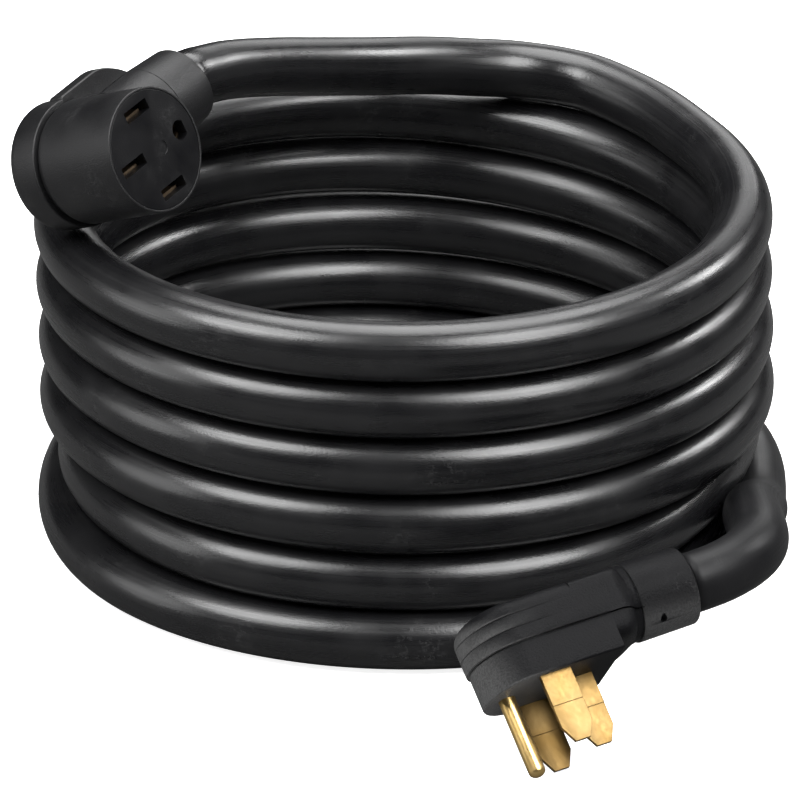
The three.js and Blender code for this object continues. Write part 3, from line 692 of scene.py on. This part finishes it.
def wingRing(height, inset):
    wing, end = connector["wing"], connector["neckEnd"]
    start = wing["start"] + inset
    line = rounded([(start, 0), (start, wing["half"] - inset), (wing["shoulder"], wing["half"] - inset),
                    (wing["waist"], wing["waistHalf"] - inset), (end, connector["neck"] - inset), (end, 0)],
                   {1: wing["startRound"], 2: wing["sideRound"], 3: wing["sideRound"]}, steps=6)
    mirrored = [(x, -y) for x, y in reversed(line) if y > 0]
    return [(x, y, height) for x, y in line + mirrored]


def wingShell(steps=7):
    edge = connector["wing"]["round"]
    back, seam = connector["seam"] - connector["wing"]["depth"], connector["seam"] - connector["seamGap"]
    rings = []
    for i in range(steps + 1):
        angle = math.pi / 2 * i / steps
        rings.append(wingRing(back + edge * (1 - math.cos(angle)), edge * (1 - math.sin(angle))))
    rings.append(wingRing(seam - connector["seamBreak"], 0))
    rings.append(wingRing(seam, connector["seamBreak"]))
    return loftShell(rings)


def slotTool(place, x, y):
    length, width = slottedFace["slotLength"] / 2, slottedFace["slotWidth"] / 2
    left, right, low, high = x - length, x + length, y - width, y + width
    outline = rounded([(left, y), (left, high), (right, high), (right, low), (left, low), (left, y)],
                      dict.fromkeys((1, 2, 3, 4), slottedFace["slotRound"]), steps=4)
    rings = [[(a, b, z) for a, b in outline[:-1]] for z in slottedFace["cut"]]
    return shellObject("slotTool", place, loftShell(rings))


def groundTool(place, steps=40):
    # a round hole with one flat side
    radius, flat = slottedFace["groundRadius"], slottedFace["groundFlat"]
    outline = [(pattern["ground"] + radius * math.cos(a), radius * math.sin(a))
               for a in (math.radians(flat + (360 - 2 * flat) * k / steps) for k in range(steps + 1))]
    rings = [[(x, y, z) for x, y in outline] for z in slottedFace["cut"]]
    return shellObject("groundTool", place, loftShell(rings))


def markShell():
    # a thin raised arc that the mould leaves near the middle of the face
    mark, high = slottedFace["mark"], slottedFace["high"]
    (x, y), (thin, spread) = mark["centre"], mark["taper"]
    rings = []
    for k in range(mark["steps"] + 1):
        a = math.radians(mark["from"] + mark["sweep"] * k / mark["steps"])
        width = mark["width"] * math.sin(math.pi * (thin + spread * k / mark["steps"]))
        section = ((-width, -mark["sunk"]), (0, mark["height"]), (width, -mark["sunk"]))
        rings.append([(x + (mark["radius"] + r) * math.cos(a), y + (mark["radius"] + r) * math.sin(a),
                       high + h) for r, h in section])
    return loftShell(rings)


def makeFace(place):
    bore = connector["sleeve"] - connector["wall"] - slottedFace["gap"]
    high, low = slottedFace["high"], slottedFace["high"] - slottedFace["depth"]
    profile = rounded([(onAxis, low), (bore, low), (bore, high), (onAxis, high)],
                      {2: slottedFace["edge"]}, steps=4)
    face = shellObject("connectorFace", place, turnedShell(profile, connector["sides"]))
    hot, neutral = pattern["hot"], pattern["neutral"]
    tools = [slotTool(place, x, y) for x, y in ((0, -hot), (0, hot), (-neutral, 0))] + [groundTool(place)]
    carve(face, tools, slottedFace["bevel"])
    ridden(face, "insulator", "connector_face")
    ridden(shellObject("faceMark", place, markShell()), "insulator")


def makeConnector():
    place = connectorPlace
    frontStart, rearStart = connector["neckStart"]
    front, rear = connector["seam"] + connector["seamGap"], connector["seam"] - connector["seamGap"]
    sleeve = shellObject("connectorSleeve", place, sleeveBody(), neckHalf(frontStart, front, math.inf))
    ridden(sleeve, "housing", "connector_front_shell")
    cover = shellObject("connectorRear", place, headShell(), wingShell(),
                        neckHalf(rearStart, -math.inf, rear))
    ridden(cover, "housing", "connector_rear_cover")
    makeFace(place)
    relief = connector["collar"]
    ownCollar = dict(collar, start=connector["neckEnd"] + relief["gap"], length=relief["length"],
                     radius=connector["neck"], taper=relief["taper"], round=relief["round"])
    collarObject = shellObject("connectorCollar", place, collarShell(ownCollar, connector["neckDepth"]))
    ridden(collarObject, "housing", "connector_collar")


makeConnector()
print("connector built")


def feed(tree, socket, value):
    # a link where the value is another node's output, and a plain value where it isn't
    if isinstance(value, bpy.types.NodeSocket):
        tree.links.new(value, socket)
    else:
        socket.default_value = value


def addNode(tree, kind, **values):
    node = tree.nodes.new(kind)
    for key, value in values.items():
        feed(tree, node.inputs[key.replace("_", " ")], value)
    return node


def mathNode(tree, operation, *values):
    node = tree.nodes.new("ShaderNodeMath")
    node.operation = operation
    for socket, value in zip(node.inputs, values):
        feed(tree, socket, value)
    return node.outputs[0]


def rampNode(tree, source, *stops):
    # a mask that goes from the first (place, value) stop to the last
    node = addNode(tree, "ShaderNodeValToRGB", Fac=source)
    for element, (place, value) in zip(node.color_ramp.elements, stops):
        element.position = place
        element.color = (value, value, value, 1)
    return node.outputs["Color"]


def blendColor(tree, share, a, b):
    node = tree.nodes.new("ShaderNodeMix")
    node.data_type = "RGBA"
    feed(tree, node.inputs[0], share)
    for index, color in ((6, a), (7, b)):
        feed(tree, node.inputs[index], (*color, 1) if isinstance(color, tuple) else color)
    return node.outputs[2]


def mapRange(tree, source, low, high, fromLow=0.3, fromHigh=0.7):
    node = tree.nodes.new("ShaderNodeMapRange")
    for socket, value in zip(node.inputs, (source, fromLow, fromHigh, low, high)):
        feed(tree, socket, value)
    return node.outputs[0]


def newGroup(name, inputs, outputs):
    group = bpy.data.node_groups.new(name, "ShaderNodeTree")
    for label, kind, value in inputs:
        group.interface.new_socket(label, in_out="INPUT", socket_type=kind).default_value = value
    for label in outputs:
        group.interface.new_socket(label, in_out="OUTPUT", socket_type="NodeSocketFloat")
    return group, group.nodes.new("NodeGroupInput").outputs, group.nodes.new("NodeGroupOutput").inputs


def grainGroup():
    # fine moulded grain with a slow, uneven swell under it
    group, given, result = newGroup("mouldedGrain", [
        ("Vector", "NodeSocketVector", (0, 0, 0)), ("Grain Scale", "NodeSocketFloat", 2600.0),
        ("Swell Scale", "NodeSocketFloat", 60.0), ("Swell Share", "NodeSocketFloat", 0.3),
    ], ["Height", "Patch"])
    fine = addNode(group, "ShaderNodeTexNoise", Vector=given["Vector"], Scale=given["Grain Scale"],
                   Detail=3.0, Roughness=0.6)
    slow = addNode(group, "ShaderNodeTexNoise", Vector=given["Vector"], Scale=given["Swell Scale"],
                   Detail=2.0, Roughness=0.5)
    swell = mathNode(group, "MULTIPLY", slow.outputs["Fac"], given["Swell Share"])
    feed(group, result["Height"], mathNode(group, "ADD", fine.outputs["Fac"], swell))
    feed(group, result["Patch"], slow.outputs["Fac"])
    return group


def scuffGroup():
    # thin scratches and small pale specks, both in patches
    group, given, result = newGroup("scuffs", [
        ("Vector", "NodeSocketVector", (0, 0, 0)), ("Scale", "NodeSocketFloat", 90.0),
        ("Amount", "NodeSocketFloat", 0.5),
    ], ["Mask", "Specks"])
    warp = addNode(group, "ShaderNodeTexNoise", Vector=given["Vector"], Scale=given["Scale"],
                   Detail=5.0, Roughness=0.7)
    where = addNode(group, "ShaderNodeTexNoise", Vector=given["Vector"], Scale=35.0, Detail=2.0)
    dots = addNode(group, "ShaderNodeTexVoronoi", Vector=given["Vector"], Scale=420.0)
    thin = mathNode(group, "ABSOLUTE", mathNode(group, "SUBTRACT", warp.outputs["Fac"], 0.5))
    patches = rampNode(group, where.outputs["Fac"], (0.55, 0.0), (0.72, 1.0))
    for label, shape in (("Mask", rampNode(group, thin, (0.0, 1.0), (0.012, 0.0))),
                         ("Specks", rampNode(group, dots.outputs["Distance"], (0.0, 1.0), (0.07, 0.0)))):
        seen = mathNode(group, "MULTIPLY", shape, patches)
        feed(group, result[label], mathNode(group, "MULTIPLY", seen, given["Amount"]))
    return group


def streakGroup():
    # fine lines drawn along the jacket, from the place round it and the metres along it
    group, given, result = newGroup("drawnLines", [
        ("Turn", "NodeSocketFloat", 0.0), ("Along", "NodeSocketFloat", 0.0),
        ("Fineness", "NodeSocketFloat", 12.0), ("Stretch", "NodeSocketFloat", 9.0),
    ], ["Lines"])
    angle = mathNode(group, "MULTIPLY", given["Turn"], 2 * math.pi)
    across, over = (mathNode(group, "MULTIPLY", mathNode(group, wave, angle), given["Fineness"])
                    for wave in ("COSINE", "SINE"))
    along = mathNode(group, "MULTIPLY", given["Along"], given["Stretch"])
    place = addNode(group, "ShaderNodeCombineXYZ", X=across, Y=over, Z=along)
    lines = addNode(group, "ShaderNodeTexNoise", Vector=place.outputs[0], Scale=1.0, Detail=2.0)
    feed(group, result["Lines"], lines.outputs[0])
    return group


grain = grainGroup()
scuffs = scuffGroup()
streaks = streakGroup()


def useGroup(tree, group, **values):
    node = tree.nodes.new("ShaderNodeGroup")
    node.node_tree = group
    for key, value in values.items():
        feed(tree, node.inputs[key.replace("_", " ")], value)
    return node.outputs


def newMaterial(name, **sockets):
    material = bpy.data.materials.new(name)
    material.use_nodes = True
    tree = material.node_tree
    shader = tree.nodes["Principled BSDF"]
    for key, value in sockets.items():
        shader.inputs[key].default_value = value
    return material, tree, shader.inputs, tree.nodes.new("ShaderNodeTexCoord").outputs["Object"]


def bumpNormal(tree, height, look):
    return addNode(tree, "ShaderNodeBump", Height=height, Strength=look["bump"],
                   Distance=look["depth"]).outputs["Normal"]


def plasticMaterial(name, look):
    material, tree, surface, place = newMaterial(name, IOR=look.get("ior", 1.5))
    texture = useGroup(tree, grain, Vector=place, Grain_Scale=look["grain"],
                       Swell_Scale=look["swell"], Swell_Share=look["swellShare"])
    marks = useGroup(tree, scuffs, Vector=place, Scale=look["markScale"], Amount=look["marks"])
    worn = mathNode(tree, "MAXIMUM", marks["Mask"], marks["Specks"])
    height = texture["Height"]
    base = blendColor(tree, mapRange(tree, texture["Patch"], 0, 1), look["dark"], look["light"])
    rough = mapRange(tree, texture["Patch"], *look["roughness"])
    # painted light: where a share is kept with the vertices, the base colour turns to a lighter speckled tone
    # on faces that look sideways or down
    if "grip" in look:
        paintedLightShare = tree.nodes.new("ShaderNodeAttribute")
        paintedLightShare.attribute_name = "grip"
        paintedLightTone = blendColor(tree, mapRange(tree, height, 0, 1), *look["grip"])
        base = blendColor(tree, paintedLightShare.outputs["Fac"], base, paintedLightTone)
    if "streaks" in look:
        unrolled = tree.nodes.new("ShaderNodeUVMap")
        unrolled.uv_map = "along"
        split = addNode(tree, "ShaderNodeSeparateXYZ", Vector=unrolled.outputs[0])
        lines = useGroup(tree, streaks, Turn=split.outputs[0], Along=split.outputs[1])["Lines"]
        swing = mapRange(tree, lines, -look["streaks"], look["streaks"])
        matt = mapRange(tree, split.outputs[1], 0, 1, *look["mattFrom"])
        rough = mathNode(tree, "ADD", mathNode(tree, "ADD", rough, swing),
                         mathNode(tree, "MULTIPLY", matt, look["mattRough"]))
        feed(tree, surface["Specular IOR Level"], mapRange(tree, matt, *look["shine"], fromLow=0, fromHigh=1))
        height = mathNode(tree, "ADD", height, mathNode(tree, "MULTIPLY", lines, look["streakHeight"]))
    feed(tree, surface["Base Color"], blendColor(tree, worn, base, look["worn"]))
    rough = mathNode(tree, "ADD", rough, mathNode(tree, "MULTIPLY", worn, wornRough))
    feed(tree, surface["Roughness"], rough)
    feed(tree, surface["Normal"], bumpNormal(tree, height, look))
    return material


def metalMaterial(name, look):
    material, tree, surface, place = newMaterial(name, Metallic=1.0)
    stretched = addNode(tree, "ShaderNodeMapping", Vector=place, Scale=look["brush"]).outputs["Vector"]
    texture = useGroup(tree, grain, Vector=stretched, Grain_Scale=look["grain"],
                       Swell_Scale=look["swell"], Swell_Share=look["swellShare"])
    patch, height = texture["Patch"], texture["Height"]
    base = blendColor(tree, mapRange(tree, patch, 0, 1), look["dark"], look["light"])
    feed(tree, surface["Base Color"], base)
    feed(tree, surface["Roughness"], mapRange(tree, height, *look["roughness"], fromLow=0.4, fromHigh=0.9))
    feed(tree, surface["Normal"], bumpNormal(tree, height, look))
    return material


wornRough = 0.12               # how much rougher a plastic is where it is scuffed
looks = {
    "jacket": {
        "dark": (0.0035, 0.0035, 0.004), "light": (0.0055, 0.0055, 0.006), "worn": (0.05, 0.05, 0.05),
        "roughness": (0.25, 0.33), "grain": 900.0, "swell": 42.0, "swellShare": 1.2,
        "markScale": 60.0, "marks": 0.35, "bump": 0.12, "depth": 0.0006,
        "streaks": 0.04, "streakHeight": 0.2,
        # the lead to the plug turns matt between these metres along the cable
        "mattFrom": (5.54, 5.70), "mattRough": 0.14, "shine": (0.5, 0.15),
    },
    "housing": {
        "dark": (0.0045, 0.0045, 0.005), "light": (0.007, 0.007, 0.0075), "worn": (0.09, 0.09, 0.09),
        "ior": 1.36, "roughness": (0.34, 0.44), "grain": 1700.0, "swell": 55.0, "swellShare": 0.25,
        "markScale": 120.0, "marks": 0.35, "bump": 0.5, "depth": 0.0004,
    },
    "plugBlack": {
        "dark": (0.0022, 0.0022, 0.0026), "light": (0.004, 0.004, 0.0045), "worn": (0.10, 0.10, 0.10),
        # painted light: the lighter speckled tones laid on the plug's sideways- and downward-facing faces
        "grip": ((0.016, 0.016, 0.016), (0.05, 0.05, 0.05)),
        "ior": 1.15, "roughness": (0.36, 0.48), "grain": 1200.0, "swell": 55.0, "swellShare": 0.25,
        "markScale": 120.0, "marks": 0.4, "bump": 0.6, "depth": 0.0005,
    },
    "insulator": {
        "dark": (0.003, 0.003, 0.0035), "light": (0.005, 0.005, 0.0055), "worn": (0.08, 0.08, 0.08),
        "ior": 1.3, "roughness": (0.3, 0.4), "grain": 2000.0, "swell": 70.0, "swellShare": 0.25,
        "markScale": 120.0, "marks": 0.3, "bump": 0.3, "depth": 0.0003,
    },
    # painted shade: the blades' brass is made much darker than the pin's, to dim the lamps' reflections in
    # them
    "brass": {
        "dark": (0.2, 0.12, 0.036), "light": (0.31, 0.21, 0.088), "roughness": (0.42, 0.56),
        "brush": (1.0, 1.0, 0.25), "grain": 700.0, "swell": 70.0, "swellShare": 0.5,
        "bump": 0.08, "depth": 0.0002,
    },
    # painted light: the same brass made lighter for the ground pin, so that it looks more brightly lit than
    # the blades
    "pinBrass": {
        "dark": (0.72, 0.47, 0.15), "light": (0.88, 0.63, 0.28), "roughness": (0.24, 0.36),
        "brush": (1.0, 1.0, 0.25), "grain": 700.0, "swell": 70.0, "swellShare": 0.5,
        "bump": 0.04, "depth": 0.0002,
    },
    # painted shade: the contacts' metal is darkened to stand for the shade inside the face's slots
    "contactsPaintedShade": {
        "dark": (0.13, 0.095, 0.065), "light": (0.2, 0.15, 0.1), "roughness": (0.3, 0.45),
        "brush": (1.0, 1.0, 1.0), "grain": 900.0, "swell": 90.0, "swellShare": 0.5,
        "bump": 0.08, "depth": 0.0002,
    },
    "tin": {
        "dark": (0.56, 0.56, 0.54), "light": (0.74, 0.74, 0.71), "roughness": (0.3, 0.45),
        "brush": (1.0, 1.0, 1.0), "grain": 900.0, "swell": 90.0, "swellShare": 0.5,
        "bump": 0.08, "depth": 0.0002,
    },
}
wireColors = {
    "wire_hot_x": (0.03, 0.03, 0.03), "wire_hot_y": (0.42, 0.03, 0.03),
    "wire_neutral": (0.75, 0.74, 0.70), "wire_ground": (0.04, 0.28, 0.09),
}


def wireLook(color):
    return dict(looks["insulator"], dark=tuple(0.85 * c for c in color), light=color, marks=0.0)


materials = {
    "jacket": plasticMaterial("jacketBlack", looks["jacket"]),
    "housing": plasticMaterial("housingBlack", looks["housing"]),
    "plugBlack": plasticMaterial("plugBlack", looks["plugBlack"]),
    "insulator": plasticMaterial("insulatorBlack", looks["insulator"]),
    "brass": metalMaterial("bladeBrass", looks["brass"]),
    "pinBrass": metalMaterial("pinBrass", looks["pinBrass"]),
    "contactsPaintedShade": metalMaterial("contactMetal", looks["contactsPaintedShade"]),
    "tin": metalMaterial("tinnedMetal", looks["tin"]),
}
for wire, color in wireColors.items():
    materials[wire] = plasticMaterial(wire.replace("_", ""), wireLook(color))


def finishOf(node):
    for wire in wireColors:
        if wire in node:
            return wire
    for words, finish in (
        (("crimp", "clamp"), "tin"), (("connector_contact_carrier", "plate", "face"), "insulator"),
        (("contact",), "contactsPaintedShade"), (("blade", "pin_ground"), "brass"), (("jacket", "cable"), "jacket"),
    ):
        if any(word in node for word in words):
            return finish
    return "housing"


def dress(obj, finish):
    obj.data.materials.clear()
    obj.data.materials.append(materials[finish])


for name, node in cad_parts.items():
    dress(node, finishOf(name))
dress(cableObject, "jacket")
for name, finish in dressed.items():
    dress(scene.objects[name], finish)
print("finishes given")


studio = {
    "ambient": 0.08,
    "reflected": 0.014,        # how bright the surroundings are in the plastic
    "aimHeight": 0.08,
    "lamps": {
        "left": {"azimuth": -59, "elevation": 50, "distance": 2.2, "size": 1.35, "energy": 62},
        "right": {"azimuth": 45, "elevation": 49, "distance": 2.2, "size": 1.45, "energy": 76},
        "low": {"azimuth": -82, "elevation": 14, "distance": 2.2, "size": 1.3, "energy": 14},
        "rim": {"azimuth": 118, "elevation": 34, "distance": 2.0, "size": 0.5, "energy": 18},
        "back": {"azimuth": 166, "elevation": 19, "distance": 2.2, "size": 1.0, "energy": 5},
        "top": {"azimuth": 172, "elevation": 70, "distance": 2.0, "size": 1.7, "energy": 56},
    },
    "floor": {"size": 14, "drop": 0.0004, "tone": 0.8, "roughness": 0.9, "glow": 0.86, "reflected": 0.06},
}


def makeLamp(name, lamp):
    data = bpy.data.lights.new(name, "AREA")
    data.shape = "DISK"
    data.size = lamp["size"]
    data.energy = lamp["energy"]
    obj = bpy.data.objects.new(name, data)
    scene.collection.objects.link(obj)
    turn, rise = math.radians(lamp["azimuth"]), math.radians(lamp["elevation"])
    way = Vector((math.sin(turn) * math.cos(rise), -math.cos(turn) * math.cos(rise), math.sin(rise)))
    obj.location = coilAxis + Vector((0, 0, studio["aimHeight"])) + way * lamp["distance"]
    obj.rotation_euler = (-way).to_track_quat("-Z", "Y").to_euler()


def makeWorld():
    # white to the camera, and darker in what lights the part and what it reflects
    world = bpy.data.worlds.new("studio")
    scene.world = world
    world.use_nodes = True
    tree = world.node_tree
    background = tree.nodes["Background"]
    background.inputs["Color"].default_value = (1, 1, 1, 1)
    rays = tree.nodes.new("ShaderNodeLightPath").outputs
    clear = mathNode(tree, "MAXIMUM", rays["Is Camera Ray"], rays["Is Transmission Ray"])
    level = mapRange(tree, rays["Is Glossy Ray"], studio["ambient"], studio["reflected"],
                     fromLow=0, fromHigh=1)
    feed(tree, background.inputs["Strength"], mathNode(tree, "MAXIMUM", clear, level))


def makeFloor():
    floor = studio["floor"]
    half = floor["size"] / 2
    corners = [(-half, -half, 0), (half, -half, 0), (half, half, 0), (-half, half, 0)]
    obj = makeObject("floor", corners, [(0, 1, 2, 3)])
    obj.location = (0, 0, -floor["drop"])
    material = bpy.data.materials.new("floorWhite")
    material.use_nodes = True
    tree = material.node_tree
    surface = tree.nodes["Principled BSDF"].inputs
    surface["Roughness"].default_value = floor["roughness"]
    surface["Emission Color"].default_value = (1, 1, 1, 1)
    rays = tree.nodes.new("ShaderNodeLightPath").outputs
    feed(tree, surface["Base Color"],
         blendColor(tree, rays["Is Glossy Ray"], (floor["tone"],) * 3, (floor["reflected"],) * 3))
    feed(tree, surface["Emission Strength"], mathNode(tree, "MULTIPLY", rays["Is Camera Ray"], floor["glow"]))
    obj.data.materials.append(material)


for lampName, lampSettings in studio["lamps"].items():
    makeLamp(lampName, lampSettings)
makeWorld()
makeFloor()
scene.view_settings.view_transform = "Standard"
print("studio lit")
